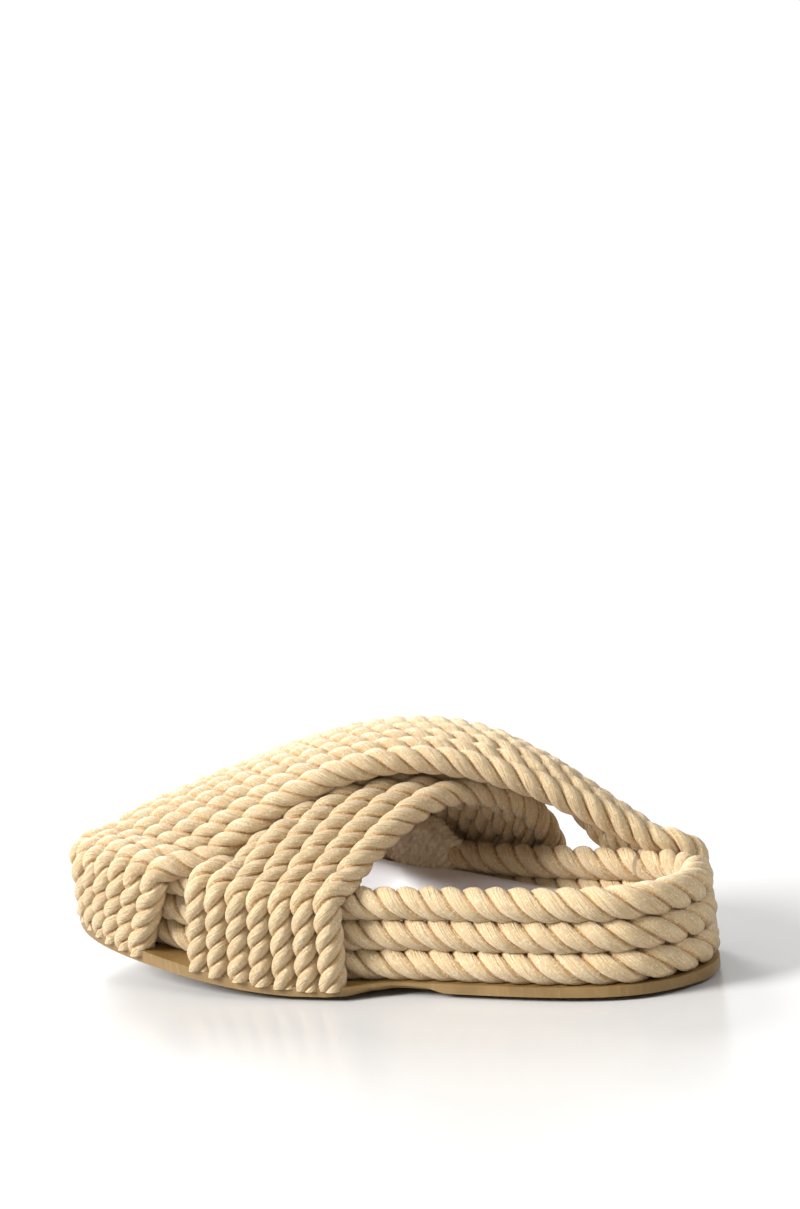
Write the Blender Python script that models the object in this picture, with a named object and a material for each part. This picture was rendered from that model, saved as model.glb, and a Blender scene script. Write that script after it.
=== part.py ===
"""Criss-cross rope sandal (slide), left foot.

A rubber outsole carries a footbed and a rim of three stacked ropes. Two bands of seven ropes lie over
the foot: the under band goes across the instep, the over band from the little toe to the inner heel.
The frame: +Y to the toe, +Z up, -X the outer (little toe) side. Lengths in the tables are millimetres.
A station is the distance from the heel's back end of the rim's centre line, along +Y.
"""
import math

import bmesh
import bpy
import numpy as np

MM = 0.001
GAP = 0.3                     # clearance between pieces that touch
ROPE = 10.4                   # rim rope, diameter
BAND_ROPE = 9.6               # band rope, diameter
BAND_ROPES = 7
RIM_ROPES = 3
SOLE_TOP = 5.0                # top of the outsole at the heel
SOLE_BOTTOM = 1.0             # underside between the two treads
TREAD_DEPTH = 3.2             # the treads reach this far up into the sole
TREAD_FLAT_TO = 148.0         # station where the ball tread leaves the ground
FOOTBED_TOP = 22.5
ARCH = 6.0                    # the footbed rises this far at the inner arch
TOE_SPRING = 20.0             # rise of the toe's top side
TOE_SPRING_FROM = 130.0       # station where the rise starts
TOE_SPRING_TO = 258.0
TOE_SPRING_POWER = 1.35
TOE_WALL = 0.86               # share of the rise that the underside follows
RIM_SQUEEZE = 0.30            # the rim gets lower under the toe band by this share
SQUEEZE_FROM, SQUEEZE_TO = 190.0, 256.0
FLANGE = 7.8                  # the outsole reaches this far past the rim where a band lands
BAND_OFFSET = ROPE / 2 + 0.35 + 4.4   # from the rim's centre line to the band ropes' centres
LEG_AHEAD = 5.0               # a leg ends above the sole as it is this far ahead
WALL_INNER = 4.4              # band's inner face below the rope centres
VALLEY = 1.3                  # height of the seam between two ropes over their centres
CROSSING = 8.6                # the over band's centres above the under band's
RIM_SIDES, RIM_STEPS = 10, 56
X_SHIFT, Y_SHIFT = 3.61, -127.01   # puts the origin under the middle of the sandal

# The rim's centre line, once round: station, across (minus is the outer side).
RIM_LINE = [
    (0, 0), (6, -16), (20, -24.5), (46, -29.5), (82, -32.5), (118, -37), (154, -40.5), (185, -38.5),
    (215, -33.5), (236, -24.5), (249, -10), (253, 5), (248, 20), (232, 32), (205, 39.5), (174, 40.5),
    (144, 36), (113, 31), (82, 27.5), (46, 26.9), (20, 25), (6, 16),
]

# Where the bands reach over the rim onto the outsole: side, first station, last station.
LANDINGS = [(-1, 104, 250), (1, 26, 146)]
LANDING_BLUR = 12             # dense steps over which a landing's ends fade

# Over band: heights of the rope centres across the foot, for the heel edge, the middle and the toe edge.
OVER = {
    "outer": (190, 248), "inner": (14, 50), "bow": (0, 18), "outer_feet": (203, 250),
    "share":     [0.00, 0.06, 0.14, 0.24, 0.34, 0.44, 0.56, 0.67, 0.76, 0.84, 0.92, 1.00],
    "heel_edge": [32, 38, 47, 61, 71.5, 76, 73.5, 66, 57, 46.5, 39, 30],
    "middle":    [35, 46.5, 56, 65, 72.5, 79, 81.5, 78.5, 72.5, 62, 48, 30],
    "toe_edge":  [39, 50, 56, 62, 68, 74, 79, 79.5, 76.5, 67.5, 51, 30],
}

# Under band, the same columns.
UNDER = {
    "outer": (108, 173), "inner": (72, 132), "bow": (0, 0), "outer_feet": (110, 176),
    "share":     [0.00, 0.06, 0.15, 0.27, 0.39, 0.50, 0.61, 0.72, 0.83, 0.92, 0.96, 1.00],
    "heel_edge": [30, 37, 44, 51, 57, 60.5, 61, 59, 55.5, 50, 45, 34],
    "middle":    [31, 40, 49, 58, 64, 67, 66.5, 63.5, 58, 51, 45, 34],
    "toe_edge":  [33, 43, 52, 60, 65, 67, 66.5, 63, 57, 50, 45, 34],
}

COLOURS = {
    "outsole": ((0.30, 0.21, 0.115), 0.62),
    "footbed": ((0.78, 0.74, 0.76), 0.70),
    "rope": ((0.80, 0.64, 0.40), 0.62),
}


def smooth_step(x, a, b):
    t = np.clip((np.asarray(x, float) - a) / (b - a), 0.0, 1.0)
    return t * t * (3 - 2 * t)


def closed_curve(points, count):
    """Periodic cubic spline through the points, read at evenly spaced parameters."""
    p = np.array(points, float)
    m = len(p)
    h = np.linalg.norm(np.roll(p, -1, 0) - p, axis=1) ** 0.5
    knots = np.concatenate([[0.0], np.cumsum(h)])
    a, b = np.zeros((m, m)), np.zeros((m, 2))
    for i in range(m):
        before, after, nxt = h[i - 1], h[i], (i + 1) % m
        a[i, i - 1] += before
        a[i, i] += 2 * (before + after)
        a[i, nxt] += after
        b[i] = 6 * ((p[nxt] - p[i]) / after - (p[i] - p[i - 1]) / before)
    bend = np.linalg.solve(a, b)
    out = []
    for u in np.linspace(0, knots[-1], count, endpoint=False):
        i = min(int(np.searchsorted(knots, u, side="right")) - 1, m - 1)
        j, hi = (i + 1) % m, h[i]
        left, right = knots[i + 1] - u, u - knots[i]
        out.append(bend[i] * left**3 / (6 * hi) + bend[j] * right**3 / (6 * hi)
                   + (p[i] / hi - bend[i] * hi / 6) * left + (p[j] / hi - bend[j] * hi / 6) * right)
    return np.array(out)


DENSE = closed_curve(RIM_LINE, 900)
TANGENT = np.roll(DENSE, -1, 0) - np.roll(DENSE, 1, 0)
TANGENT /= np.linalg.norm(TANGENT, axis=1)[:, None]
NORMAL = np.stack([TANGENT[:, 1], -TANGENT[:, 0]], 1)
if np.sum((DENSE - DENSE.mean(0)) * NORMAL) < 0:
    NORMAL = -NORMAL


def ring(offset):
    """The rim's centre line moved outward by the offset, as rows of (station, across)."""
    return DENSE + NORMAL * np.broadcast_to(np.asarray(offset, float).reshape(-1, 1), DENSE.shape)


def along_side(curve, first, last, side, count):
    """Points spaced evenly by length along one side of the curve, between two stations."""
    half = curve[curve[:, 1] * side > 0]
    half = half[np.argsort(half[:, 0])]
    half = half[(half[:, 0] >= first) & (half[:, 0] <= last)]
    length = np.concatenate([[0.0], np.cumsum(np.linalg.norm(np.diff(half, axis=0), axis=1))])
    at = np.linspace(0, length[-1], count)
    return np.stack([np.interp(at, length, half[:, 0]), np.interp(at, length, half[:, 1])], 1)


def spring(station):
    share = (np.asarray(station, float) - TOE_SPRING_FROM) / (TOE_SPRING_TO - TOE_SPRING_FROM)
    return TOE_SPRING * np.clip(share, 0, 2) ** TOE_SPRING_POWER


def squeeze(station):
    return 1 - RIM_SQUEEZE * smooth_step(station, SQUEEZE_FROM, SQUEEZE_TO)


def rim_rope_height(station, level):
    """Height of a rim rope's centre; level 0 is the lowest."""
    return SOLE_TOP + spring(station) + GAP + (level + 0.5) * ROPE * squeeze(station)


def landing():
    """Along the dense centre line: 1 where a band lands, 0 elsewhere, with soft ends."""
    there = np.zeros(len(DENSE))
    for side, first, last in LANDINGS:
        inside = (DENSE[:, 0] >= first) & (DENSE[:, 0] <= last) & (np.sign(DENSE[:, 1]) == side)
        there[inside] = 1.0
    kernel = np.hanning(2 * LANDING_BLUR + 1)
    wrapped = np.concatenate([there[-LANDING_BLUR:], there, there[:LANDING_BLUR]])
    return np.convolve(wrapped, kernel / kernel.sum(), mode="valid")


def finish(name, bm, colour):
    bmesh.ops.recalc_face_normals(bm, faces=bm.faces)
    if bm.calc_volume(signed=True) < 0:
        bmesh.ops.reverse_faces(bm, faces=bm.faces)
    mesh = bpy.data.meshes.new(name)
    bm.to_mesh(mesh)
    bm.free()
    obj = bpy.data.objects.new(name, mesh)
    bpy.context.scene.collection.objects.link(obj)
    rgb, roughness = COLOURS[colour]
    material = bpy.data.materials.get(colour) or bpy.data.materials.new(colour)
    material.use_nodes = True
    shader = material.node_tree.nodes["Principled BSDF"]
    shader.inputs["Base Color"].default_value = (*rgb, 1)
    shader.inputs["Roughness"].default_value = roughness
    shader.inputs["Metallic"].default_value = 0.0
    mesh.materials.append(material)
    return obj


def place(station, across, height):
    return ((across + X_SHIFT) * MM, (station + Y_SHIFT) * MM, height * MM)


def skin(bm, loops, closed):
    """Joins loops of equal length with quads, and closes the ends or the ring."""
    rows = [[bm.verts.new(p) for p in loop] for loop in loops]
    n = len(rows[0])
    pairs = list(zip(rows, rows[1:])) + ([(rows[-1], rows[0])] if closed else [])
    for a, b in pairs:
        for k in range(n):
            bm.faces.new((a[k], a[(k + 1) % n], b[(k + 1) % n], b[k]))
    if not closed:
        bm.faces.new(rows[0][::-1])
        bm.faces.new(rows[-1])


def stations_of(curve, count):
    """Stations from end to end, closer together at the rounded ends, with both sides' widths."""
    first, last = curve[:, 0].min() + 0.25, curve[:, 0].max() - 0.25
    s = (first + last) / 2 - (last - first) / 2 * np.cos(np.linspace(0, math.pi, count))
    outer = curve[curve[:, 1] < 2.0]
    inner = curve[curve[:, 1] > 2.0]
    widths = []
    for half in (outer, inner):
        half = half[np.argsort(half[:, 0])]
        widths.append(np.interp(s, half[:, 0], half[:, 1]))
    return s, widths[0], widths[1]


def sole_low(station):
    """Height of the sole's underside between and beyond the treads."""
    return SOLE_BOTTOM + TOE_WALL * float(spring(station))


def tread(name, first, last, inset):
    """A flat tread under the heel or the ball; its front runs up into the rising toe."""
    s, outer, inner = stations_of(ring(-inset), 60)
    keep = (s > first) & (s < last)
    s, outer, inner = s[keep][::2], outer[keep][::2], inner[keep][::2]
    soft = 6.0 * (1 - smooth_step(np.minimum(s - first, last - s), 0, 10))
    loops = []
    for station, a, b in zip(s, outer + soft, inner - soft):
        low = float(smooth_step(station, TREAD_FLAT_TO, 172)) * (sole_low(station) + GAP)
        top = sole_low(station) + TREAD_DEPTH
        loops.append([place(station, a, low), place(station, a, top), place(station, b, top),
                      place(station, b, low)])
    bm = bmesh.new()
    skin(bm, loops, closed=False)
    obj = finish(name, bm, "outsole")
    obj.hide_render = True
    obj.display_type = "WIRE"
    return obj


def make_outsole():
    curve = ring(ROPE / 2 - 0.2 + FLANGE * landing())
    s, outer, inner = stations_of(curve, 60)
    waist = smooth_step(s, 74, 86) * (1 - smooth_step(s, 102, 113))
    loops = []
    for k, station in enumerate(s):
        low = sole_low(station)
        top = SOLE_TOP + float(spring(station))
        a, b = outer[k], inner[k]
        edge = min(2.5, (b - a) * 0.2)
        notch = 2.4 * waist[k]
        loops.append([place(station, a + edge, low + notch * 0.6), place(station, a, low + 0.6 + notch),
                      place(station, a, top), place(station, b, top),
                      place(station, b, low + 0.6 + notch), place(station, b - edge, low + notch * 0.6)])
    bm = bmesh.new()
    skin(bm, loops, closed=False)
    sole = finish("outsole", bm, "outsole")
    for guide in (tread("heel_tread", 6, 74, 3.0), tread("ball_tread", 112, 174, 3.0)):
        union = sole.modifiers.new(guide.name, "BOOLEAN")
        union.operation = "UNION"
        union.object = guide
    return sole


def arch_rise(station):
    return ARCH * float(smooth_step(station, 46, 118) * (1 - smooth_step(station, 185, 235)))


def make_insole():
    """The footbed: it fills the rim, is dished along the middle and rises with the toe."""
    s, outer, inner = stations_of(ring(-(ROPE / 2 + GAP)), 44)
    loops = []
    for k, station in enumerate(s):
        rise = float(spring(station))
        low = SOLE_TOP + rise + GAP
        high = low + (FOOTBED_TOP - SOLE_TOP) * float(squeeze(station))
        a, b = outer[k], inner[k]
        width = b - a
        dish = 2.2 * smooth_step(width, 10, 50)
        cuts = [(0.0, -1.2), (0.1, 0.0), (0.5, -dish), (0.9, 0.0), (1.0, -1.2)]
        row = [place(station, a, low)]
        arch = arch_rise(station)
        row += [place(station, a + width * share, high + lift + arch * share**2) for share, lift in cuts]
        row += [place(station, b, low)]
        loops.append(row)
    bm = bmesh.new()
    skin(bm, loops, closed=False)
    obj = finish("insole", bm, "footbed")
    obj.data.shade_smooth()
    obj.data.set_sharp_from_angle(angle=math.radians(35))
    return obj


def make_rim_rope(name, level):
    steps = np.linalg.norm(np.roll(DENSE, -1, 0) - DENSE, axis=1)
    length = np.concatenate([[0.0], np.cumsum(steps)])
    at = np.linspace(0, length[-1], RIM_STEPS, endpoint=False)
    index = np.searchsorted(length, at, side="right") - 1
    loops = []
    for i in index:
        station, across = DENSE[i]
        centre = float(rim_rope_height(station, level))
        half = ROPE / 2 * float(squeeze(station)) - GAP / 2
        row = []
        for k in range(RIM_SIDES):
            turn = 2 * math.pi * (k + 0.5) / RIM_SIDES
            out = half * math.cos(turn)
            row.append(place(station + NORMAL[i, 0] * out, across + NORMAL[i, 1] * out,
                             centre + half * math.sin(turn)))
        loops.append(row)
    bm = bmesh.new()
    skin(bm, loops, closed=True)
    obj = finish(name, bm, "rope")
    obj.data.shade_smooth()
    return obj


def rim_distance(points):
    """Signed distance of plan points from the rim's centre line, plus outward."""
    near = np.argmin(np.linalg.norm(points[:, None, :] - DENSE[None, :, :], axis=2), axis=1)
    delta = points - DENSE[near]
    return np.sum(delta * NORMAL[near], axis=1), DENSE[near, 0]


def band_reach(station):
    """From the rim's line out to a band's rope centres; less at the toe, where the rim is slimmer."""
    return BAND_OFFSET - ROPE / 2 * (1 - squeeze(station))


def clear_of_rim(plan, z):
    """Raises the heights of rope centres where they would come into the rim's top rope."""
    distance, station = rim_distance(plan)
    reach = band_reach(station) + 0.1
    over = rim_rope_height(station, RIM_ROPES - 1) + np.sqrt(np.clip(reach**2 - distance**2, 0, None))
    return np.where(np.abs(distance) < reach, np.maximum(z, over), z)


def band_centres(band, across_count, along_count):
    """Rope centres of a band: rows across it, columns along it, each a (station, across, height)."""
    line = ring(band_reach(DENSE[:, 0]))
    start = along_side(line, *band["outer"], -1, across_count)
    end = along_side(line, *band["inner"], 1, across_count)
    feet = along_side(line, *band["outer_feet"], -1, across_count)
    t = (1 - np.cos(np.linspace(0, math.pi, along_count))) / 2
    rows = []
    for j in range(across_count):
        u = j / (across_count - 1)
        a, b = start[j], end[j]
        chord = b - a
        square = np.array([-chord[1], chord[0]]) / np.linalg.norm(chord)
        if square[0] < 0:
            square = -square
        bow = band["bow"][0] + (band["bow"][1] - band["bow"][0]) * u
        plan = a + chord * t[:, None] + square * (bow * 4 * t * (1 - t))[:, None]
        tables = [np.interp(t, band["share"], band[key]) for key in ("heel_edge", "middle", "toe_edge")]
        weights = ((1 - u) * (1 - 2 * u), 4 * u * (1 - u), u * (2 * u - 1))
        z = sum(w * h for w, h in zip(weights, tables))
        for _ in range(3):
            z[1:-1] = (z[:-2] + 2 * z[1:-1] + z[2:]) / 4
        z = clear_of_rim(plan, z)
        top = rim_rope_height(rim_distance(plan)[1], RIM_ROPES - 1)
        z[0], z[-1] = top[0], top[-1]
        legs = []
        for base, point, height in ((feet[j], a, z[0]), (b, b, z[-1])):
            foot = SOLE_TOP + float(spring(base[0] + LEG_AHEAD)) + GAP + 0.2
            legs.append([[*(base + (point - base) * share), foot + (height - foot) * share]
                         for share in (0.0, 0.34, 0.67)])
        row = legs[0] + [[*p, h] for p, h in zip(plan, z)] + legs[1][::-1]
        rows.append(row)
    return np.array(rows)


def drape_under(grid, over_grid):
    """Keeps the under band's centres one crossing height below the over band."""
    flat = over_grid[:, 3:-3].reshape(-1, 3)
    for row in grid:
        for point in row[3:-3]:
            gap = np.linalg.norm(flat[:, :2] - point[:2], axis=1)
            k = np.argsort(gap)[:4]
            if gap[k[0]] < 9:
                weight = 1 / (gap[k] + 0.3)
                limit = float(np.sum(flat[k, 2] * weight) / weight.sum()) - CROSSING
                point[2] = min(point[2], limit)
        row[4:-4, 2] = clear_of_rim(row[4:-4, :2], row[4:-4, 2])
    return grid


def band_solid(name, grid):
    """One wall with its ropes raised: a ridge for each rope outside, a smooth face inside."""
    per = 4
    n_across, n_along = grid.shape[:2]
    du = np.gradient(grid, axis=0)
    dt = np.gradient(grid, axis=1)
    normal = np.cross(du, dt)
    normal /= np.maximum(np.linalg.norm(normal, axis=2, keepdims=True), 1e-9)
    middle = normal[n_across // 2, n_along // 2]
    if middle[2] < 0:
        normal = -normal
    ridge = VALLEY + (BAND_ROPE / 2 - VALLEY) * np.abs(np.sin(np.pi * np.arange(n_across) / per))
    outer = grid + normal * ridge[:, None, None]
    inner = grid[::per] - normal[::per] * WALL_INNER
    bm = bmesh.new()
    loops = []
    for k in range(n_along):
        loop = [place(*outer[j, k]) for j in range(n_across)]
        loop += [place(*inner[j, k]) for j in range(inner.shape[0] - 1, -1, -1)]
        loops.append(loop)
    skin(bm, loops, closed=False)
    return finish(name, bm, "rope")


def make_upper():
    count = BAND_ROPES * 4 + 1
    over = band_centres(OVER, count, 24)
    under = drape_under(band_centres(UNDER, count, 22), over)
    guide = band_solid("under_band", under)
    guide.hide_render = True
    guide.display_type = "WIRE"
    upper = band_solid("upper", over)
    union = upper.modifiers.new("under_band", "BOOLEAN")
    union.operation = "UNION"
    union.object = guide
    upper.data.shade_smooth()
    upper.data.set_sharp_from_angle(angle=math.radians(50))
    return upper


def main():
    for obj in list(bpy.data.objects):
        bpy.data.objects.remove(obj, do_unlink=True)
    make_outsole()
    make_insole()
    for level, name in enumerate(("rim_rope_low", "rim_rope_middle", "rim_rope_top")):
        make_rim_rope(name, level)
    make_upper()


main()
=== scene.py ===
# %% [markdown]
# A criss-cross rope sandal, left foot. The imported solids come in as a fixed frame: an outsole, a footbed,
# three stacked rim ropes and an upper of two rope bands. Every piece made here sits where its solid is.

# %% The frame
import math

import bmesh
import bpy
import numpy as np
from mathutils import Matrix, Vector


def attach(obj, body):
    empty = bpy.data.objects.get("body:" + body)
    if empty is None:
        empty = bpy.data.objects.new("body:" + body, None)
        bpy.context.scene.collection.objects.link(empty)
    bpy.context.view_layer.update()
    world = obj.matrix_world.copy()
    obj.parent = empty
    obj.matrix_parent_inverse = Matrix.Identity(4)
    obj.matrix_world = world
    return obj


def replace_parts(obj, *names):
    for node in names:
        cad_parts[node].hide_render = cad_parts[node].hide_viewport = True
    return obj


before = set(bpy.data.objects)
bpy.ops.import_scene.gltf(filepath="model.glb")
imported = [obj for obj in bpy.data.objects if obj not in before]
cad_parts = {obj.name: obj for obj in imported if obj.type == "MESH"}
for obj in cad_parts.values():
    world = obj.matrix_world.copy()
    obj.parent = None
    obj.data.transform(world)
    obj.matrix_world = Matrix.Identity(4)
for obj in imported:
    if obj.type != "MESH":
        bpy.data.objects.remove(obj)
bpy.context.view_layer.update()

# %% [markdown]
# The photograph looks at the little toe side from behind, from a little above the ankle, with a longish
# lens, and the picture is turned slightly anticlockwise. The camera could be placed by eye. Here it is
# placed by its distance, its azimuth and its elevation from one point of the sandal, so that each can be
# fitted by itself, and the lens is shifted for the framing.

# %% Camera
PHOTO_WIDTH, PHOTO_HEIGHT = 800, 1209
AZIMUTH, ELEVATION, ROLL = -50.75, 11.93, -7.6
DISTANCE = 0.9
FOCAL_PIXELS = 2538.0
TARGET = Vector((0.00361, -0.00101, 0.035))
TARGET_PIXEL = (379.5, 866.0)


def add_camera():
    a, e = math.radians(AZIMUTH), math.radians(ELEVATION)
    back = Vector((math.sin(a) * math.cos(e), -math.cos(a) * math.cos(e), math.sin(e)))
    data = bpy.data.cameras.new("camera")
    data.sensor_width = 36.0
    data.lens = FOCAL_PIXELS / PHOTO_HEIGHT * data.sensor_width
    data.shift_x = (PHOTO_WIDTH / 2 - TARGET_PIXEL[0]) / PHOTO_HEIGHT
    data.shift_y = (TARGET_PIXEL[1] - PHOTO_HEIGHT / 2) / PHOTO_HEIGHT
    data.clip_start, data.clip_end = 0.05, 20.0
    camera = bpy.data.objects.new("camera", data)
    look = (-back).to_track_quat("-Z", "Y").to_matrix().to_4x4()
    camera.matrix_world = (Matrix.Translation(TARGET + back * DISTANCE) @ look
                           @ Matrix.Rotation(math.radians(ROLL), 4, "Z"))
    bpy.context.scene.collection.objects.link(camera)
    bpy.context.scene.camera = camera
    return camera


camera = add_camera()
print("lens in mm:", round(camera.data.lens, 1))
print("shift:", round(camera.data.shift_x, 3), round(camera.data.shift_y, 3))

# %% [markdown]
# The sandal follows one line: the plan of the rim's ropes round the foot. Its points are given as a
# station, measured from the back of the heel towards the toe, and a distance across, minus to the outer
# side. A periodic cubic spline through them gives a smooth closed curve, and everything else is set off
# from it by a distance.

# %% The rim's line
MM = 0.001
GAP = 0.3
ROPE, BAND_ROPE = 10.4, 9.6
SOLE_TOP, FOOTBED_TOP = 5.0, 22.5
TOE_SPRING, TOE_SPRING_FROM, TOE_SPRING_TO, TOE_SPRING_POWER = 20.0, 130.0, 258.0, 1.35
RIM_SQUEEZE, SQUEEZE_FROM, SQUEEZE_TO = 0.30, 190.0, 256.0
X_SHIFT, Y_SHIFT = 3.61, -127.01
RIM_LINE = [
    (0, 0), (6, -16), (20, -24.5), (46, -29.5), (82, -32.5), (118, -37), (154, -40.5), (185, -38.5),
    (215, -33.5), (236, -24.5), (249, -10), (253, 5), (248, 20), (232, 32), (205, 39.5), (174, 40.5),
    (144, 36), (113, 31), (82, 27.5), (46, 26.9), (20, 25), (6, 16),
]


def smooth_step(x, a, b):
    t = np.clip((np.asarray(x, float) - a) / (b - a), 0.0, 1.0)
    return t * t * (3 - 2 * t)


def closed_curve(points, count):
    """Periodic cubic spline through the points, read at evenly spaced parameters."""
    p = np.array(points, float)
    m = len(p)
    h = np.linalg.norm(np.roll(p, -1, 0) - p, axis=1) ** 0.5
    knots = np.concatenate([[0.0], np.cumsum(h)])
    a, b = np.zeros((m, m)), np.zeros((m, 2))
    for i in range(m):
        before, after, nxt = h[i - 1], h[i], (i + 1) % m
        a[i, i - 1] += before
        a[i, i] += 2 * (before + after)
        a[i, nxt] += after
        b[i] = 6 * ((p[nxt] - p[i]) / after - (p[i] - p[i - 1]) / before)
    bend = np.linalg.solve(a, b)
    out = []
    for u in np.linspace(0, knots[-1], count, endpoint=False):
        i = min(int(np.searchsorted(knots, u, side="right")) - 1, m - 1)
        j, hi = (i + 1) % m, h[i]
        left, right = knots[i + 1] - u, u - knots[i]
        out.append(bend[i] * left**3 / (6 * hi) + bend[j] * right**3 / (6 * hi)
                   + (p[i] / hi - bend[i] * hi / 6) * left + (p[j] / hi - bend[j] * hi / 6) * right)
    return np.array(out)


DENSE = closed_curve(RIM_LINE, 900)
TANGENT = np.roll(DENSE, -1, 0) - np.roll(DENSE, 1, 0)
TANGENT /= np.linalg.norm(TANGENT, axis=1)[:, None]
NORMAL = np.stack([TANGENT[:, 1], -TANGENT[:, 0]], 1)
if np.sum((DENSE - DENSE.mean(0)) * NORMAL) < 0:
    NORMAL = -NORMAL


def ring(offset):
    """The rim's line moved outward by the offset, as rows of (station, across)."""
    return DENSE + NORMAL * np.broadcast_to(np.asarray(offset, float).reshape(-1, 1), DENSE.shape)


def spring(station):
    share = (np.asarray(station, float) - TOE_SPRING_FROM) / (TOE_SPRING_TO - TOE_SPRING_FROM)
    return TOE_SPRING * np.clip(share, 0, 2) ** TOE_SPRING_POWER


def squeeze(station):
    return 1 - RIM_SQUEEZE * smooth_step(station, SQUEEZE_FROM, SQUEEZE_TO)


def rim_rope_height(station, level):
    return SOLE_TOP + spring(station) + GAP + (level + 0.5) * ROPE * squeeze(station)


def place(station, across, height):
    return ((across + X_SHIFT) * MM, (station + Y_SHIFT) * MM, height * MM)


rim_length = float(np.sum(np.linalg.norm(np.roll(DENSE, -1, 0) - DENSE, axis=1)))
print("rim rope, once round, in mm:", round(rim_length))

# %% [markdown]
# The two bands lie over the foot. Their ropes could be drawn one by one, but then their spacing would be
# hard to keep even. So each band is a surface of rope centres: a plan chord from the outer side to the
# inner side, heights from a small table, and a short leg at each end that goes down outside the rim to
# the edge of the outsole. The over band's heel-side rope crosses the rim a few millimetres nearer the
# heel than its solid, because the photograph shows the two bands almost meeting there.

# %% The bands' tables and the rim below them
BAND_CLEARANCE, WALL_INNER = 0.35, 4.4
BAND_OFFSET = ROPE / 2 + BAND_CLEARANCE + WALL_INNER
CROSSING, CROSSING_REACH, CROSSING_BLEND = 8.6, 9.0, 0.3
LEG_AHEAD, LEG_SEAT, LEG_SHARES = 5.0, 0.2, (0.0, 0.34, 0.67)
LEG_POINTS = len(LEG_SHARES)
PRESSED, PRESS_MARGIN = 0.85, 0.1      # where a band rope lies over the rim, both give way a little
BAND_ROPES, ROWS_PER_ROPE = 7, 4
OVER_POINTS, UNDER_POINTS, SMOOTHINGS = 24, 22, 3
OVER = {
    "outer": (185, 248), "inner": (14, 50), "bow": (0, 18), "outer_feet": (199, 250),
    "share":     [0.00, 0.06, 0.14, 0.24, 0.34, 0.44, 0.56, 0.67, 0.76, 0.84, 0.92, 1.00],
    "heel_edge": [32, 38, 47, 61, 71.5, 76, 73.5, 66, 57, 46.5, 39, 30],
    "middle":    [35, 46.5, 56, 65, 72.5, 79, 81.5, 78.5, 72.5, 62, 48, 30],
    "toe_edge":  [39, 50, 56, 62, 68, 74, 79, 79.5, 76.5, 67.5, 51, 30],
}
UNDER = {
    "outer": (108, 173), "inner": (72, 132), "bow": (0, 0), "outer_feet": (110, 176),
    "share":     [0.00, 0.06, 0.15, 0.27, 0.39, 0.50, 0.61, 0.72, 0.83, 0.92, 0.96, 1.00],
    "heel_edge": [30, 37, 44, 51, 57, 60.5, 61, 59, 55.5, 50, 45, 34],
    "middle":    [31, 40, 49, 58, 64, 67, 66.5, 63.5, 58, 51, 45, 34],
    "toe_edge":  [33, 43, 52, 60, 65, 67, 66.5, 63, 57, 50, 45, 34],
}


def along_side(curve, first, last, side, count):
    half = curve[curve[:, 1] * side > 0]
    half = half[np.argsort(half[:, 0])]
    half = half[(half[:, 0] >= first) & (half[:, 0] <= last)]
    length = np.concatenate([[0.0], np.cumsum(np.linalg.norm(np.diff(half, axis=0), axis=1))])
    at = np.linspace(0, length[-1], count)
    return np.stack([np.interp(at, length, half[:, 0]), np.interp(at, length, half[:, 1])], 1)


def rim_distance(points):
    near = np.argmin(np.linalg.norm(points[:, None, :] - DENSE[None, :, :], axis=2), axis=1)
    delta = points - DENSE[near]
    return np.sum(delta * NORMAL[near], axis=1), DENSE[near, 0]


def band_reach(station):
    """From the rim's line out to a band's rope centres; less at the toe, where the rim is slimmer."""
    return BAND_OFFSET - ROPE / 2 * (1 - squeeze(station))


def clear_of_rim(plan, z):
    """Raises the heights of rope centres where they would come into the rim's top rope."""
    distance, station = rim_distance(plan)
    reach = band_reach(station) + PRESS_MARGIN
    over = rim_rope_height(station, 2) + PRESSED * np.sqrt(np.clip(reach**2 - distance**2, 0, None))
    return np.where(np.abs(distance) < reach, np.maximum(z, over), z)


print("band ropes stand off the rim's line by", round(BAND_OFFSET, 2), "mm")

# %% [markdown]
# A band is worked out as a grid with a few rows for each rope, and the row in the middle of each rope is
# used later as its path. The under band is kept one rope's height below the over band, and both are
# lifted where they would come into the rim's top rope.

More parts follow.
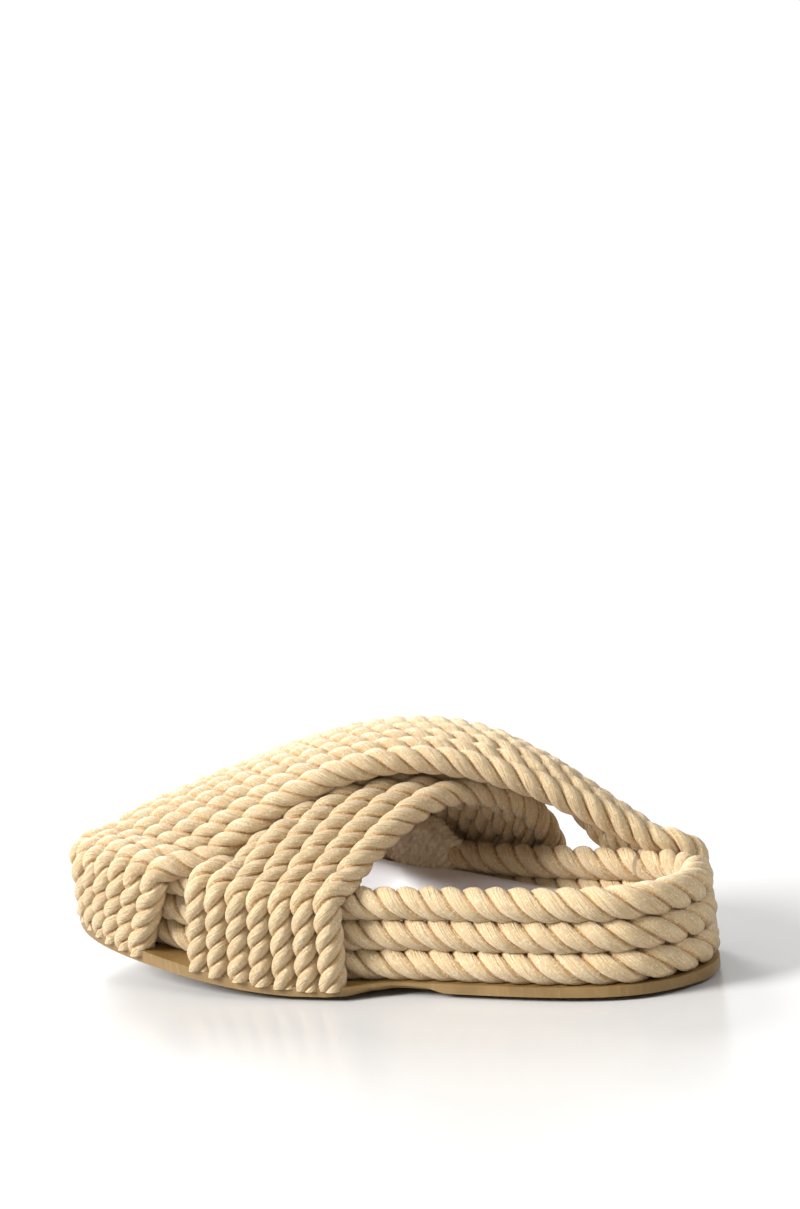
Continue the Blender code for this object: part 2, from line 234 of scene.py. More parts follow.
# %% The bands' rope centres
def band_centres(band, across_count, along_count):
    """Rows across the band, columns along it, each a (station, across, height)."""
    line = ring(band_reach(DENSE[:, 0]))
    start = along_side(line, *band["outer"], -1, across_count)
    end = along_side(line, *band["inner"], 1, across_count)
    feet = along_side(line, *band["outer_feet"], -1, across_count)
    t = (1 - np.cos(np.linspace(0, math.pi, along_count))) / 2
    rows = []
    for j in range(across_count):
        u = j / (across_count - 1)
        a, b = start[j], end[j]
        chord = b - a
        square = np.array([-chord[1], chord[0]]) / np.linalg.norm(chord)
        if square[0] < 0:
            square = -square
        bow = band["bow"][0] + (band["bow"][1] - band["bow"][0]) * u
        plan = a + chord * t[:, None] + square * (bow * 4 * t * (1 - t))[:, None]
        tables = [np.interp(t, band["share"], band[key]) for key in ("heel_edge", "middle", "toe_edge")]
        weights = ((1 - u) * (1 - 2 * u), 4 * u * (1 - u), u * (2 * u - 1))
        z = sum(w * h for w, h in zip(weights, tables))
        for _ in range(SMOOTHINGS):
            z[1:-1] = (z[:-2] + 2 * z[1:-1] + z[2:]) / 4
        z = clear_of_rim(plan, z)
        top = rim_rope_height(rim_distance(plan)[1], 2)
        z[0], z[-1] = top[0], top[-1]
        legs = []
        for base, point, height in ((feet[j], a, z[0]), (b, b, z[-1])):
            foot = SOLE_TOP + float(spring(base[0] + LEG_AHEAD)) + GAP + LEG_SEAT
            legs.append([[*(base + (point - base) * share), foot + (height - foot) * share]
                         for share in LEG_SHARES])
        rows.append(legs[0] + [[*p, h] for p, h in zip(plan, z)] + legs[1][::-1])
    return np.array(rows)


def drape_under(grid, over_grid):
    """Keeps the under band's centres one crossing height below the over band."""
    flat = over_grid[:, LEG_POINTS:-LEG_POINTS].reshape(-1, 3)
    first, last = LEG_POINTS + 1, -LEG_POINTS - 1
    for row in grid:
        for point in row[LEG_POINTS:-LEG_POINTS]:
            gap = np.linalg.norm(flat[:, :2] - point[:2], axis=1)
            k = np.argsort(gap)[:4]
            if gap[k[0]] < CROSSING_REACH:
                weight = 1 / (gap[k] + CROSSING_BLEND)
                limit = float(np.sum(flat[k, 2] * weight) / weight.sum()) - CROSSING
                point[2] = min(point[2], limit)
        row[first:last, 2] = clear_of_rim(row[first:last, :2], row[first:last, 2])
    return grid


BAND_ROWS = BAND_ROPES * ROWS_PER_ROPE + 1
over_grid = band_centres(OVER, BAND_ROWS, OVER_POINTS)
under_grid = drape_under(band_centres(UNDER, BAND_ROWS, UNDER_POINTS), over_grid)
print("highest rope centre in mm:", round(over_grid[:, :, 2].max(), 1))

# %% [markdown]
# Both kinds of node tree, for geometry and for shading, are written here as plain expressions. A Wire
# wraps a socket and turns + - * / into Math nodes. A Graph makes any other node from its type, its
# settings and the values or wires of its sockets.

# %% Wires and graphs
class Wire:
    def __init__(self, graph, socket):
        self.graph, self.socket = graph, socket

    def math(self, operation, *others):
        return self.graph.make("ShaderNodeMath", {"operation": operation}, dict(enumerate((self, *others))))

    def __add__(self, other):
        return self.math("ADD", other)

    def __mul__(self, other):
        return self.math("MULTIPLY", other)

    def __sub__(self, other):
        return self.math("SUBTRACT", other)

    def __truediv__(self, other):
        return self.math("DIVIDE", other)

    def __rsub__(self, other):
        return self.graph.make("ShaderNodeMath", {"operation": "SUBTRACT"}, {0: other, 1: self})

    def __pow__(self, other):
        return self.math("POWER", other)

    __radd__, __rmul__ = __add__, __mul__

    def ramp(self, low, high, to_low=0.0, to_high=1.0):
        return self.graph.make("ShaderNodeMapRange", {"interpolation_type": "SMOOTHSTEP"},
                               {"Value": self, "From Min": low, "From Max": high,
                                "To Min": to_low, "To Max": to_high})


class Graph:
    def __init__(self, tree):
        self.tree = tree

    def make(self, kind, settings=None, inputs=None, out=0):
        node = self.tree.nodes.new(kind)
        for key, value in (settings or {}).items():
            if key == "stops":
                while len(node.color_ramp.elements) < len(value):
                    node.color_ramp.elements.new(0.5)
                for stop, (at, colour) in zip(node.color_ramp.elements, value):
                    stop.position, stop.color = at, (*colour, 1)
            else:
                setattr(node, key, value)
        for key, value in (inputs or {}).items():
            socket = node.inputs[key]
            if isinstance(value, Wire):
                self.tree.links.new(value.socket, socket)
            else:
                socket.default_value = value
        return Wire(self, node.outputs[out])

    def mix(self, share, a, b, blend="MIX"):
        return self.make("ShaderNodeMix", {"data_type": "RGBA", "blend_type": blend},
                         {0: share, 6: a, 7: b}, 2)

    def noise(self, where, scale, detail=2.0, roughness=0.5, out=0):
        return self.make("ShaderNodeTexNoise", None,
                         {"Vector": where, "Scale": scale, "Detail": detail, "Roughness": roughness}, out)


print("helpers ready")

# %% [markdown]
# A rope is three strands laid round each other. They could be three tubes in a helix, which cut into one
# another. Here the whole rope is swept as one closed tube whose section has three lobes, turned steadily
# along its path: the lobes are the strands and the valleys are the seams between them. One tree does
# this for every rope of the sandal. It also stores where a point is round the section and how far along,
# because the fibres of a strand follow it, and how deep in a seam, which the finish uses for a painted
# shade.

# %% The rope tree
GEOMETRY_INPUTS = [
    ("Diameter", "NodeSocketFloat"), ("Lead", "NodeSocketFloat"), ("Steps per lead", "NodeSocketFloat"),
    ("Sides", "NodeSocketInt"), ("Seam depth", "NodeSocketFloat"), ("Roundness", "NodeSocketFloat"),
    ("Unevenness", "NodeSocketFloat"), ("Finish", "NodeSocketMaterial"),
]


def rope_tree():
    tree = bpy.data.node_groups.new("laid_rope", "GeometryNodeTree")
    tree.interface.new_socket("Path", in_out="INPUT", socket_type="NodeSocketGeometry")
    for name, kind in GEOMETRY_INPUTS:
        tree.interface.new_socket(name, in_out="INPUT", socket_type=kind)
    tree.interface.new_socket("Rope", in_out="OUTPUT", socket_type="NodeSocketGeometry")
    g = Graph(tree)
    source = tree.nodes.new("NodeGroupInput")
    asked = {s.name: Wire(g, s) for s in source.outputs}

    def named(kind, name):
        return g.make("GeometryNodeInputNamedAttribute", {"data_type": kind}, {"Name": name})

    def store(geometry, name, value, kind="FLOAT"):
        return g.make("GeometryNodeStoreNamedAttribute", {"data_type": kind, "domain": "POINT"},
                      {"Geometry": geometry, "Name": name, "Value": value})

    path = g.make("GeometryNodeMeshToCurve", None, {"Mesh": asked["Path"]})
    path = g.make("GeometryNodeCurveSplineType", {"spline_type": "CATMULL_ROM"}, {"Curve": path})
    path = g.make("GeometryNodeResampleCurve", {"mode": "LENGTH"},
                  {"Curve": path, "Length": asked["Lead"] / asked["Steps per lead"]})
    length = g.make("GeometryNodeSplineLength")
    turns = (length / asked["Lead"]).math("ROUND")
    factor = g.make("GeometryNodeSplineParameter", None, None, "Factor")
    along = g.make("GeometryNodeSplineParameter", None, None, "Length")
    tilt = factor * turns * (2 * math.pi) + named("FLOAT", "phase")
    path = store(path, "along", along)
    path = g.make("GeometryNodeSetCurveRadius", None, {"Curve": path, "Radius": named("FLOAT", "girth")})
    path = g.make("GeometryNodeSetCurveTilt", None, {"Curve": path, "Tilt": tilt})

    section = g.make("GeometryNodeCurvePrimitiveCircle", None,
                     {"Resolution": asked["Sides"], "Radius": 1.0})
    turn = g.make("GeometryNodeInputIndex") / asked["Sides"] * (2 * math.pi)
    lobe = (turn * 1.5).math("SINE").math("ABSOLUTE") ** asked["Roundness"]
    here = g.make("GeometryNodeInputPosition")
    section = store(section, "round", here, "FLOAT_VECTOR")
    section = store(section, "crest", lobe)
    radius = (lobe * asked["Seam depth"] + (1.0 - asked["Seam depth"])) * asked["Diameter"] * 0.5
    shaped = g.make("ShaderNodeVectorMath", {"operation": "SCALE"}, {"Vector": here, "Scale": radius})
    section = g.make("GeometryNodeSetPosition", None, {"Geometry": section, "Position": shaped})

    rope = g.make("GeometryNodeCurveToMesh", None,
                  {"Curve": path, "Profile Curve": section, "Fill Caps": True})
    bumps = g.make("ShaderNodeTexNoise", None, {"Vector": here, "Scale": 130.0, "Detail": 1.0}) - 0.5
    push = g.make("ShaderNodeVectorMath", {"operation": "SCALE"},
                  {"Vector": g.make("GeometryNodeInputNormal"), "Scale": bumps * asked["Unevenness"]})
    rope = g.make("GeometryNodeSetPosition", None, {"Geometry": rope, "Offset": push})
    rope = g.make("GeometryNodeRealizeInstances", None, {"Geometry": rope})
    rope = g.make("GeometryNodeSetShadeSmooth", None, {0: rope})
    rope = g.make("GeometryNodeSetMaterial", None, {"Geometry": rope, "Material": asked["Finish"]})
    tree.links.new(rope.socket, tree.nodes.new("NodeGroupOutput").inputs[0])
    return tree


ROPE_TREE = rope_tree()
print("rope tree nodes:", len(ROPE_TREE.nodes))

# %% [markdown]
# The rope is a soft cream cord with a slight lustre. Fine fibres run along each strand, the seams carry a
# painted shade, warmer and darker, that stands in for the shadow and the light bounced between the strands,
# small tufts are pale specks with a painted glint where they catch the light, and no two strands have quite
# the same tone. The fibres could be real hairs, which would be far too many. They come from a noise that
# is read round the section and along the rope, stretched along.

# %% Rope finish
CREAM = (0.82, 0.61, 0.34, 1)
# painted shade: the darker, warmer colour that the seams between strands are mixed towards
SEAM_SHADE_HONEY = (0.62, 0.35, 0.11, 1)
PALE = (0.92, 0.77, 0.54, 1)
TAN_PATCH = (0.70, 0.50, 0.27, 1)
# painted glint: the pale colour of the specks where tufts catch the light
TUFT_GLINT = (0.95, 0.84, 0.66, 1)
FIBRE_SHADE, FIBRE_LIGHT = (0.70, 0.62, 0.50), (1.0, 1.0, 1.0)


def new_finish(name, roughness, **plain):
    material = bpy.data.materials.new(name)
    material.use_nodes = True
    shader = material.node_tree.nodes["Principled BSDF"]
    shader.inputs["Roughness"].default_value = roughness
    for key, value in plain.items():
        shader.inputs[key.replace("_", " ")].default_value = value
    return material, Graph(material.node_tree), shader


def rope_finish():
    material, g, shader = new_finish("cream_rope", 0.5, Sheen_Weight=0.3, Sheen_Roughness=0.35)
    shader.inputs["Specular IOR Level"].default_value = 0.4
    shader.inputs["Sheen Tint"].default_value = (1.0, 0.97, 0.93, 1)

    def read(name, out):
        return g.make("ShaderNodeAttribute", {"attribute_name": name}, None, out)

    crest = read("crest", "Fac")
    length = g.make("ShaderNodeCombineXYZ", None, {"Z": read("along", "Fac") * 90.0})
    where = g.make("ShaderNodeVectorMath", {"operation": "MULTIPLY_ADD"},
                   {0: read("round", "Vector"), 1: (6.0, 6.0, 6.0), 2: length})
    fibre = g.noise(where, 2.1, 3.0, 0.65)
    yarn = g.noise(where, 0.9, 1.0)
    body = g.make("ShaderNodeTexCoord", None, None, "Object")
    patch = g.noise(body, 22.0, 2.0)
    # painted shade: darker and warmer towards the bottom of each seam, by the stored seam depth
    seam_shade = crest.ramp(0.10, 0.70)
    colour = g.mix(seam_shade, SEAM_SHADE_HONEY, CREAM)
    colour = g.mix(yarn.ramp(0.45, 0.8, 0.0, 0.55) * seam_shade, colour, PALE)
    colour = g.mix(patch.ramp(0.35, 0.75, 0.0, 0.22), colour, TAN_PATCH)
    lines = g.make("ShaderNodeValToRGB", {"stops": [(0.32, FIBRE_SHADE), (0.58, FIBRE_LIGHT)]}, {0: fibre})
    colour = g.mix(0.85, colour, lines, "MULTIPLY")
    # painted glint: small pale specks where tufts catch the light; the same noise also gives the tufts
    # their bumps
    tufts_and_glints = g.noise(body, 1300.0, 2.0)
    colour = g.mix(tufts_and_glints.ramp(0.52, 0.68, 0.0, 0.6), colour, TUFT_GLINT)
    g.tree.links.new(colour.socket, shader.inputs["Base Color"])
    rough = fibre.ramp(0.3, 0.7, 0.60, 0.44)
    g.tree.links.new(rough.socket, shader.inputs["Roughness"])
    height = fibre + yarn * 0.8 + tufts_and_glints * 0.35
    bump = g.make("ShaderNodeBump", None, {"Strength": 0.9, "Distance": 0.0011, "Height": height})
    g.tree.links.new(bump.socket, shader.inputs["Normal"])
    return material


ROPE_FINISH = rope_finish()
print("rope finish nodes:", len(ROPE_FINISH.node_tree.nodes))

# %% [markdown]
# A path object holds one or more lines of points, with a starting turn and a girth for each point. The
# rope tree reads them through its modifier, the result is kept as a plain mesh, and the path goes.

# %% Laying ropes
rng = np.random.default_rng(11)


def lay_ropes(name, lines, closed, sizes):
    """A mesh of ropes along the lines, each a list of (station, across, height, girth)."""
    mesh = bpy.data.meshes.new(name + "_path")
    points, edges, phases, girths = [], [], [], []
    for line in lines:
        first = len(points)
        phase = float(rng.uniform(0, 2 * math.pi / 3))
        for station, across, height, girth in line:
            points.append(place(station, across, height))
            phases.append(phase)
            girths.append(girth)
        last = len(points)
        edges += [(k, k + 1) for k in range(first, last - 1)]
        if closed:
            edges.append((last - 1, first))
    mesh.from_pydata(points, edges, [])
    for key, values in (("phase", phases), ("girth", girths)):
        mesh.attributes.new(key, "FLOAT", "POINT").data.foreach_set("value", values)
    path = bpy.data.objects.new(name + "_path", mesh)
    bpy.context.scene.collection.objects.link(path)
    modifier = path.modifiers.new("laid_rope", "NODES")
    modifier.node_group = ROPE_TREE
    sockets = {s.name: s.identifier for s in ROPE_TREE.interface.items_tree if s.in_out == "INPUT"}
    for key, value in sizes.items():
        modifier[sockets[key]] = value
    modifier[sockets["Finish"]] = ROPE_FINISH
    depsgraph = bpy.context.evaluated_depsgraph_get()
    made = bpy.data.meshes.new_from_object(path.evaluated_get(depsgraph), depsgraph=depsgraph)
    bpy.data.objects.remove(path)
    made.name = name
    made.shade_smooth()
    rope = bpy.data.objects.new(name, made)
    bpy.context.scene.collection.objects.link(rope)
    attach(rope, "root")
    print(name, "triangles:", sum(len(p.vertices) - 2 for p in made.polygons))
    return rope


# %% [markdown]
# Three ropes go once round the footbed, one on the other, glued and stitched to each other. They are one
# path at three heights, a little fatter than their spacing, because real ropes flatten where they touch.
# The strands must meet where a rope closes, so the tree rounds the number of turns to a whole number, and
# the ropes close on the inner side, where the over band covers the join.

# %% Rim ropes
RIM_ROPES = [("rim_rope_low", 29.0), ("rim_rope_middle", 27.8), ("rim_rope_top", 26.0)]
RIM_FULLNESS, FAR_SIDE_FULLER = 1.15, 0.10
FAR_SIDE, FAR_SIDE_ENDS = (0, 20), (120, 160)      # across, and the stations where it fades
RIM_POINT_STEP = 6
RIM_SIZES = {"Diameter": ROPE * RIM_FULLNESS * MM, "Steps per lead": 18.0, "Sides": 36,
             "Seam depth": 0.33, "Roundness": 0.52, "Unevenness": 0.9 * MM}
JOIN_STATION, JOIN_ACROSS = 32, 26
JOIN = int(np.argmin(np.hypot(DENSE[:, 0] - JOIN_STATION, DENSE[:, 1] - JOIN_ACROSS)))

for level, (name, lead) in enumerate(RIM_ROPES):
    line = []
    for s, a in np.roll(DENSE, -JOIN, 0)[::RIM_POINT_STEP]:
        far_side = float(smooth_step(a, *FAR_SIDE) * (1 - smooth_step(s, *FAR_SIDE_ENDS)))
        fuller = FAR_SIDE_FULLER * far_side if level == 2 else 0.0
        line.append((s, a, float(rim_rope_height(s, level)), float(squeeze(s)) * (1 + fuller)))
    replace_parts(lay_ropes(name + "_laid", [line], True, {**RIM_SIZES, "Lead": lead * MM}), name)

# %% [markdown]
# Each band is seven ropes side by side, which run over the rim and end on the outsole's edge. A flat
# braid would be one mesh with a bump, but its edges would look cut. Seven separate ropes, a little fatter
# than their spacing so that they press into one another, keep their round outlines.

# %% Band ropes
BANDS = [("over_band", over_grid, 24.0), ("under_band", under_grid, 21.0)]
BAND_FULLNESS = 1.06
BAND_SIZES = {"Diameter": BAND_ROPE * BAND_FULLNESS * MM, "Steps per lead": 17.0, "Sides": 36,
              "Seam depth": 0.36, "Roundness": 0.54, "Unevenness": 0.9 * MM}
ROUNDED_END = [(-0.3, 0.45), (0.3, 0.78), (1.2, 0.95), (3.0, 1.0)]     # rise in mm, share of the girth
OUTER_HANG, MORE_AT_TOE, INNER_HANG = 1.5, 2.2, 0.5
TOE_ENDS = (180, 205)      # the stations between which the outer ends come to reach lower


def tuck(row):
    """Rounds both ends of a rope and takes them down into the outsole's edge, the outer end further."""
    outer_hang = OUTER_HANG + MORE_AT_TOE * float(smooth_step(row[0][0], *TOE_ENDS))
    ends = []
    for k, hang in ((0, outer_hang), (-1, INNER_HANG)):
        s, a, h = row[k]
        ends.append([(s, a, h - hang + up, girth) for up, girth in ROUNDED_END])
    return ends[0] + [(*point, 1.0) for point in row[1:-1]] + ends[1][::-1]


for name, grid, lead in BANDS:
    lines = [tuck(row) for row in grid[ROWS_PER_ROPE // 2::ROWS_PER_ROPE]]
    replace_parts(lay_ropes(name, lines, False, {**BAND_SIZES, "Lead": lead * MM}), "upper")

# %% [markdown]
# The footbed is a soft board under a smooth pale lining. It could be a flat slab, but the light on it
# would then be even. It fills the rim, is dished a little along the middle, rises under the arch of the
# foot and rises with the toe. It is made from cross sections, less than 3 mm apart and closer at both
# ends, with a closed skin over them.

# %% Sections and their skin
def stations_of(curve, count):
    first, last = curve[:, 0].min() + 0.25, curve[:, 0].max() - 0.25
    s = (first + last) / 2 - (last - first) / 2 * np.cos(np.linspace(0, math.pi, count))
    widths = []
    for half in (curve[curve[:, 1] < 2.0], curve[curve[:, 1] > 2.0]):
        half = half[np.argsort(half[:, 0])]
        widths.append(np.interp(s, half[:, 0], half[:, 1]))
    return s, widths[0], widths[1]


def skin(name, loops, material, body):
    """A closed mesh through loops of equal length, with its ends filled."""
    bm = bmesh.new()
    rows = [[bm.verts.new(p) for p in loop] for loop in loops]
    n = len(rows[0])
    for a, b in zip(rows, rows[1:]):
        for k in range(n):
            bm.faces.new((a[k], a[(k + 1) % n], b[(k + 1) % n], b[k]))
    bm.faces.new(rows[0][::-1])
    bm.faces.new(rows[-1])
    bmesh.ops.recalc_face_normals(bm, faces=bm.faces)
    if bm.calc_volume(signed=True) < 0:
        bmesh.ops.reverse_faces(bm, faces=bm.faces)
    mesh = bpy.data.meshes.new(name)
    bm.to_mesh(mesh)
    bm.free()
    mesh.materials.append(material)
    mesh.shade_smooth()
    mesh.set_sharp_from_angle(angle=math.radians(40))
    obj = bpy.data.objects.new(name, mesh)
    bpy.context.scene.collection.objects.link(obj)
    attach(obj, body)
    print(name, "triangles:", sum(len(p.vertices) - 2 for p in mesh.polygons))
    return obj


print("skin of sections ready")

# %% [markdown]
# The lining is pale and smooth, with a soft sheen at a low angle. It is clouded a little by wear, and it
# turns darker and browner towards the heel. One colour would look like plastic, so two noises break it up.

# %% Lining finish
LINING, LINING_CLOUD, LINING_HEELWARD = (0.83, 0.79, 0.84, 1), (0.75, 0.70, 0.71, 1), (0.52, 0.42, 0.34, 1)


def lining_finish():
    material, g, shader = new_finish("pale_lining", 0.4, Sheen_Weight=0.4, Sheen_Roughness=0.4)
    where = g.make("ShaderNodeTexCoord", None, None, "Object")
    axes = g.make("ShaderNodeSeparateXYZ", None, {"Vector": where}, "Y")
    cloud = g.noise(where, 35.0, 3.0)
    grain = g.noise(where, 900.0, 2.0)
    colour = g.mix(cloud.ramp(0.35, 0.7, 0.0, 0.35), LINING, LINING_CLOUD)
    # darker and browner towards the heel, read from the object's Y
    colour = g.mix(axes.ramp(-0.04, -0.095, 0.0, 0.65), colour, LINING_HEELWARD)
    g.tree.links.new(colour.socket, shader.inputs["Base Color"])
    bump = g.make("ShaderNodeBump", None, {"Strength": 0.12, "Distance": 0.0003, "Height": grain})
    g.tree.links.new(bump.socket, shader.inputs["Normal"])
    return material


LINING_FINISH = lining_finish()
print("lining finish nodes:", len(LINING_FINISH.node_tree.nodes))

# %% Footbed
ARCH, ARCH_RISES, ARCH_FALLS = 6.0, (46, 118), (185, 235)
DISHED_FROM, DISHED_FULLY = 10, 50      # widths of the footbed in mm
FOOTBED_SECTIONS, FOOTBED_TUCK = 150, 1.2
FOOTBED_EDGE = [(0.0, -3.0), (0.012, -1.2), (0.035, -0.35), (0.1, 0.0), (0.2, -0.9), (0.32, -1.7),
                (0.5, -2.2), (0.68, -1.7), (0.8, -0.9), (0.9, 0.0), (0.965, -0.35), (0.988, -1.2),
                (1.0, -3.0)]


def arch_rise(station):
    return ARCH * float(smooth_step(station, *ARCH_RISES) * (1 - smooth_step(station, *ARCH_FALLS)))


def make_footbed():
    s, outer, inner = stations_of(ring(-(ROPE / 2 + GAP) + FOOTBED_TUCK), FOOTBED_SECTIONS)
    loops = []
    for station, a, b in zip(s, outer, inner):
        low = SOLE_TOP + float(spring(station)) + GAP
        high = low + (FOOTBED_TOP - SOLE_TOP) * float(squeeze(station))
        width = b - a
        dish = float(smooth_step(width, DISHED_FROM, DISHED_FULLY))
        row = [place(station, a, low)]
        row += [place(station, a + width * share,
                      high + lift * (dish if 0.05 < share < 0.95 else 1) + arch_rise(station) * share**2)
                for share, lift in FOOTBED_EDGE]
        loops.append(row + [place(station, b, low)])
    return skin("footbed_lined", loops, LINING_FINISH, "root")


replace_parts(make_footbed(), "insole")

# %% [markdown]
# Inside, under the instep, the far rim's top rope is covered by a layer of pressed, frayed fibre where the
# under band's ropes are glued to it. Hair particles could make it, but they don't export. It is a thin
# rough sheet that follows the rim and dives into the ropes at its edges. A grid of points is pushed in
# and out by a few waves, so that it looks matted, and its finish adds the fine fluff.

# %% Fibre finish
FIBRE_DARK, FIBRE_PALE, FIBRE_CLOUD = (0.60, 0.46, 0.28, 1), (0.92, 0.80, 0.60, 1), (0.72, 0.58, 0.40, 1)


def felt_finish():
    material, g, shader = new_finish("matted_fibre", 0.9, Sheen_Weight=0.4)
    where = g.make("ShaderNodeTexCoord", None, None, "Object")
    fluff = g.noise(where, 420.0, 5.0, 0.75)
    cloud = g.noise(where, 90.0, 2.0)
    colour = g.mix(fluff.ramp(0.3, 0.7), FIBRE_DARK, FIBRE_PALE)
    colour = g.mix(cloud.ramp(0.4, 0.8, 0.0, 0.4), colour, FIBRE_CLOUD)
    g.tree.links.new(colour.socket, shader.inputs["Base Color"])
    bump = g.make("ShaderNodeBump", None, {"Strength": 0.9, "Distance": 0.0008, "Height": fluff})
    g.tree.links.new(bump.socket, shader.inputs["Normal"])
    return material


FELT_FINISH = felt_finish()
print("fibre finish nodes:", len(FELT_FINISH.node_tree.nodes))

# %% Fibre pad
PAD_STATIONS, PAD_HEIGHTS = (111.0, 147.0), (23.5, 46.0)
PAD_ROWS, PAD_COLUMNS, PAD_WAVES = 60, 44, 14
PAD_OFF_RIM, PAD_SWELL, PAD_SUNK, PAD_LEAN, PAD_THICKNESS = 0.9, 3.2, 2.8, 0.9, 1.6
PAD_LOWER_AT_HEEL, PAD_LOWER_AT_TOE, PAD_FULL_HEIGHT = 8, 11, (123, 136)
PAD_FADE_HEEL, PAD_FADE_TOE, PAD_FADE_TOP = 0.22, 0.12, 0.2


def pad_waves():
    rough = np.random.default_rng(4)
    return (rough.uniform(0.4, 2.6, (PAD_WAVES, 2)), rough.uniform(0, 6.28, PAD_WAVES),
            rough.uniform(0.05, 0.22, PAD_WAVES))


def pad_sheets():
    """Rows along the rim, columns upward; the edges of the grid lie deeper, inside the ropes."""
    line = along_side(ring(-(ROPE / 2 + PAD_OFF_RIM)), *PAD_STATIONS, 1, PAD_ROWS)
    inward = along_side(ring(-(ROPE / 2 + PAD_OFF_RIM + 1)), *PAD_STATIONS, 1, PAD_ROWS) - line
    inward /= np.linalg.norm(inward, axis=1)[:, None]
    waves = pad_waves()
    front, back = [], []
    for (station, across), (ds, da) in zip(line, inward):
        u = (station - PAD_STATIONS[0]) / (PAD_STATIONS[1] - PAD_STATIONS[0])
        low, high = PAD_HEIGHTS
        high -= PAD_LOWER_AT_HEEL * float(1 - smooth_step(station, PAD_STATIONS[0], PAD_FULL_HEIGHT[0]))
        high -= PAD_LOWER_AT_TOE * float(smooth_step(station, PAD_FULL_HEIGHT[1], PAD_STATIONS[1]))
        for v in np.linspace(0, 1, PAD_COLUMNS):
            height = low + (high - low) * v
            edge = min(float(smooth_step(u, 0, PAD_FADE_HEEL)), float(smooth_step(1 - u, 0, PAD_FADE_TOE)),
                       float(smooth_step(1 - v, 0, PAD_FADE_TOP)))
            matted = sum(size * math.sin(f[0] * station + f[1] * height + start)
                         for f, start, size in zip(*waves))
            out = PAD_SWELL * edge - PAD_SUNK - PAD_LEAN * v * v + matted
            deep = out - PAD_THICKNESS
            front.append(place(station + ds * out, across + da * out, height))
            back.append(place(station + ds * deep, across + da * deep, height))
    return front, back


def make_pad():
    bm = bmesh.new()
    sheets = [[bm.verts.new(p) for p in sheet] for sheet in pad_sheets()]
    rows, columns = PAD_ROWS, PAD_COLUMNS
    for sheet in sheets:
        for i in range(rows - 1):
            for j in range(columns - 1):
                a = i * columns + j
                bm.faces.new((sheet[a], sheet[a + 1], sheet[a + columns + 1], sheet[a + columns]))
    rim = ([i * columns for i in range(rows)] + [(rows - 1) * columns + j for j in range(1, columns)]
           + [i * columns + columns - 1 for i in range(rows - 2, -1, -1)] + list(range(columns - 2, 0, -1)))
    for a, b in zip(rim, rim[1:] + rim[:1]):
        bm.faces.new((sheets[0][a], sheets[0][b], sheets[1][b], sheets[1][a]))
    bmesh.ops.recalc_face_normals(bm, faces=bm.faces)
    mesh = bpy.data.meshes.new("fibre_pad")
    bm.to_mesh(mesh)
    bm.free()
    mesh.materials.append(FELT_FINISH)
    mesh.shade_smooth()
    pad = bpy.data.objects.new("fibre_pad", mesh)
    bpy.context.scene.collection.objects.link(pad)
    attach(pad, "root")
    print("fibre pad faces:", len(mesh.polygons))


make_pad()

# %% [markdown]
# The outsole is tan rubber, moulded in one piece and satin rather than shiny. Its wall carries faint
# upright marks from the mould and a little dust. It could be modelled again, but the solid has the right
# shape, so a copy of it is merged, its edges are rounded a little as a mould leaves them, and it gets its
# finish.

# %% Outsole finish
RUBBER_DARK, RUBBER_PALE = (0.19, 0.110, 0.030, 1), (0.26, 0.160, 0.055, 1)
RUBBER_DUST = (0.42, 0.30, 0.13, 1)


def rubber_finish():
    material, g, shader = new_finish("tan_rubber", 0.5, Coat_Weight=0.1, Coat_Roughness=0.4)
    where = g.make("ShaderNodeTexCoord", None, None, "Object")
    stretch = g.make("ShaderNodeVectorMath", {"operation": "MULTIPLY"}, {0: where, 1: (1.0, 1.0, 0.12)})
    marks = g.noise(stretch, 520.0, 2.0)
    cloud = g.noise(where, 60.0, 3.0)
    colour = g.mix(cloud.ramp(0.3, 0.7), RUBBER_DARK, RUBBER_PALE)
    colour = g.mix(marks.ramp(0.55, 0.8, 0.0, 0.3), colour, RUBBER_DUST)
    g.tree.links.new(colour.socket, shader.inputs["Base Color"])
    g.tree.links.new(cloud.ramp(0.3, 0.7, 0.42, 0.6).socket, shader.inputs["Roughness"])
    bump = g.make("ShaderNodeBump", None, {"Strength": 0.25, "Distance": 0.0004, "Height": marks})
    g.tree.links.new(bump.socket, shader.inputs["Normal"])
    return material


RUBBER_FINISH = rubber_finish()
print("rubber finish nodes:", len(RUBBER_FINISH.node_tree.nodes))

# %% Outsole
EDGE_ROUND = 0.5


def mould_outsole():
    bm = bmesh.new()
    bm.from_mesh(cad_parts["outsole"].data)
    bmesh.ops.remove_doubles(bm, verts=bm.verts, dist=1e-6)
    bmesh.ops.dissolve_limit(bm, angle_limit=math.radians(0.5), verts=bm.verts, edges=bm.edges)
    mesh = bpy.data.meshes.new("outsole_moulded")
    bm.to_mesh(mesh)
    bm.free()
    mesh.materials.append(RUBBER_FINISH)
    mesh.shade_smooth()
    mesh.set_sharp_from_angle(angle=math.radians(35))
    sole = bpy.data.objects.new("outsole_moulded", mesh)
    bpy.context.scene.collection.objects.link(sole)
    bevel = sole.modifiers.new("rounded_edges", "BEVEL")
    bevel.width, bevel.segments, bevel.limit_method = EDGE_ROUND * MM, 2, "ANGLE"
    bevel.angle_limit = math.radians(50)
    bevel.harden_normals = True
    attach(sole, "root")
    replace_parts(sole, "outsole")
    print("outsole faces:", len(mesh.polygons))


mould_outsole()

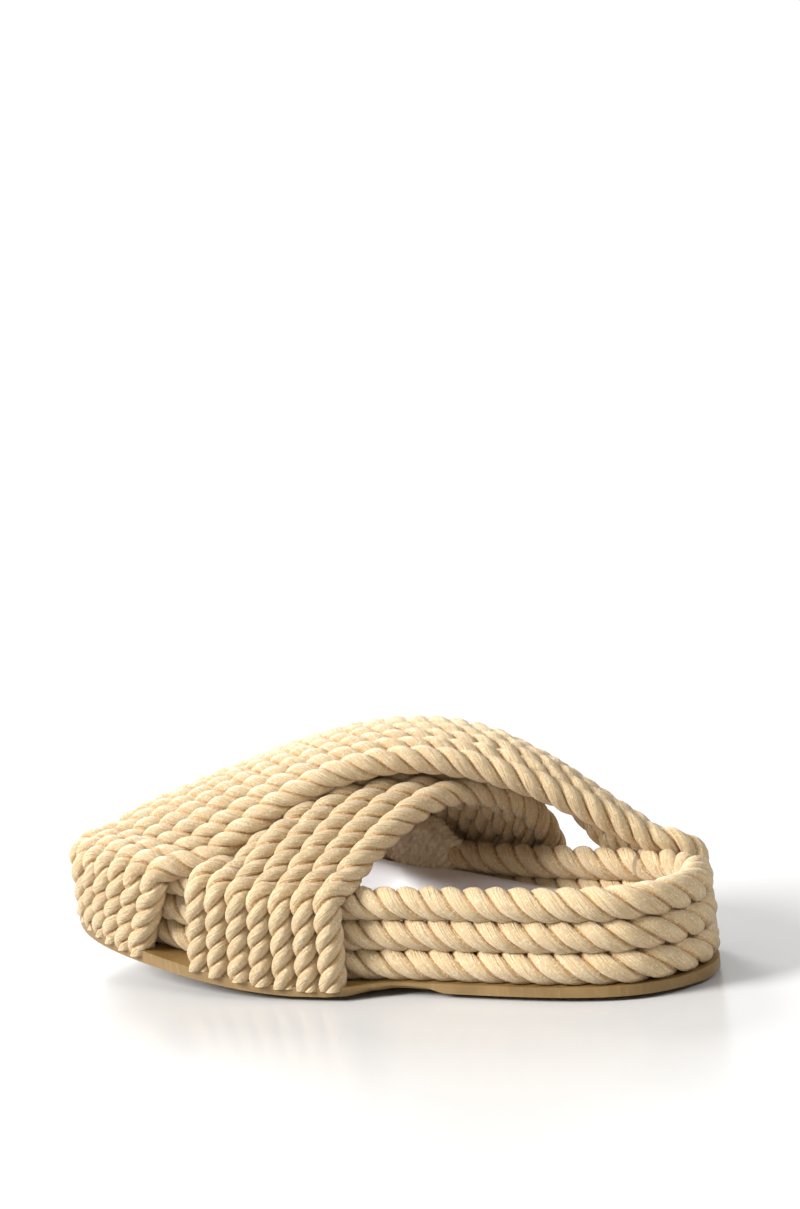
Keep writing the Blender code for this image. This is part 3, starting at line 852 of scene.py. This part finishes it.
# %% [markdown]
# The sandal stands on a pale floor that soft studio light brings up to white: a broad key light from
# beyond the toe on the outer side, a back light that runs under the bands and over the footbed, a little
# light from above and on the heel, and a white surround. Lamps close by would leave the floor grey at the
# back of the picture. Distant lights are even over the whole floor, so only the sandal's shadow shows. The
# surround fills the shadows less than it is bright itself, so that they keep some depth.

# %% Floor
FLOOR_REACH, FLOOR_TONE = 6.0, (0.58, 0.58, 0.58, 1)


def add_floor():
    bm = bmesh.new()
    bmesh.ops.create_grid(bm, x_segments=1, y_segments=1, size=FLOOR_REACH)
    mesh = bpy.data.meshes.new("floor")
    bm.to_mesh(mesh)
    bm.free()
    material, _, shader = new_finish("pale_floor", 0.22)
    shader.inputs["Base Color"].default_value = FLOOR_TONE
    shader.inputs["Specular IOR Level"].default_value = 0.3
    mesh.materials.append(material)
    floor = bpy.data.objects.new("floor", mesh)
    bpy.context.scene.collection.objects.link(floor)


add_floor()
print("floor across in m:", FLOOR_REACH * 2)

# %% Light
def add_light(name, azimuth, elevation, power, spread, colour):
    """A distant light, as broad as its spread in degrees, so that it is even over the whole floor."""
    data = bpy.data.lights.new(name, "SUN")
    data.energy, data.angle, data.color = power, math.radians(spread), colour
    a, e = math.radians(azimuth), math.radians(elevation)
    aim = Vector((math.sin(a) * math.cos(e), -math.cos(a) * math.cos(e), math.sin(e)))
    lamp = bpy.data.objects.new(name, data)
    lamp.rotation_mode = "QUATERNION"
    lamp.rotation_quaternion = aim.to_track_quat("Z", "Y")
    bpy.context.scene.collection.objects.link(lamp)


LIGHTS = [
    ("overhead", -165, 66, 0.4, 40, (1.0, 1.0, 1.0)),
    ("key", -136, 33, 5.5, 25, (1.0, 0.99, 0.97)),
    ("back", 145, 28, 2.3, 20, (1.0, 1.0, 1.0)),
    ("heel", -5, 44, 0.9, 20, (1.0, 0.99, 0.98)),
]
SURROUND_SEEN, SURROUND_FILL = 1.05, 0.27

for row in LIGHTS:
    add_light(*row)
world = bpy.data.worlds.new("surround")
bpy.context.scene.world = world
world.use_nodes = True
surround = Graph(world.node_tree)
soft = surround.make("ShaderNodeLightPath", None, None, "Is Diffuse Ray")
background = world.node_tree.nodes["Background"]
background.inputs["Color"].default_value = (1, 1, 1, 1)
strength = soft.ramp(0.0, 1.0, SURROUND_SEEN, SURROUND_FILL)
world.node_tree.links.new(strength.socket, background.inputs["Strength"])
bpy.context.scene.view_settings.view_transform = "Standard"
print("lights:", [row[0] for row in LIGHTS])
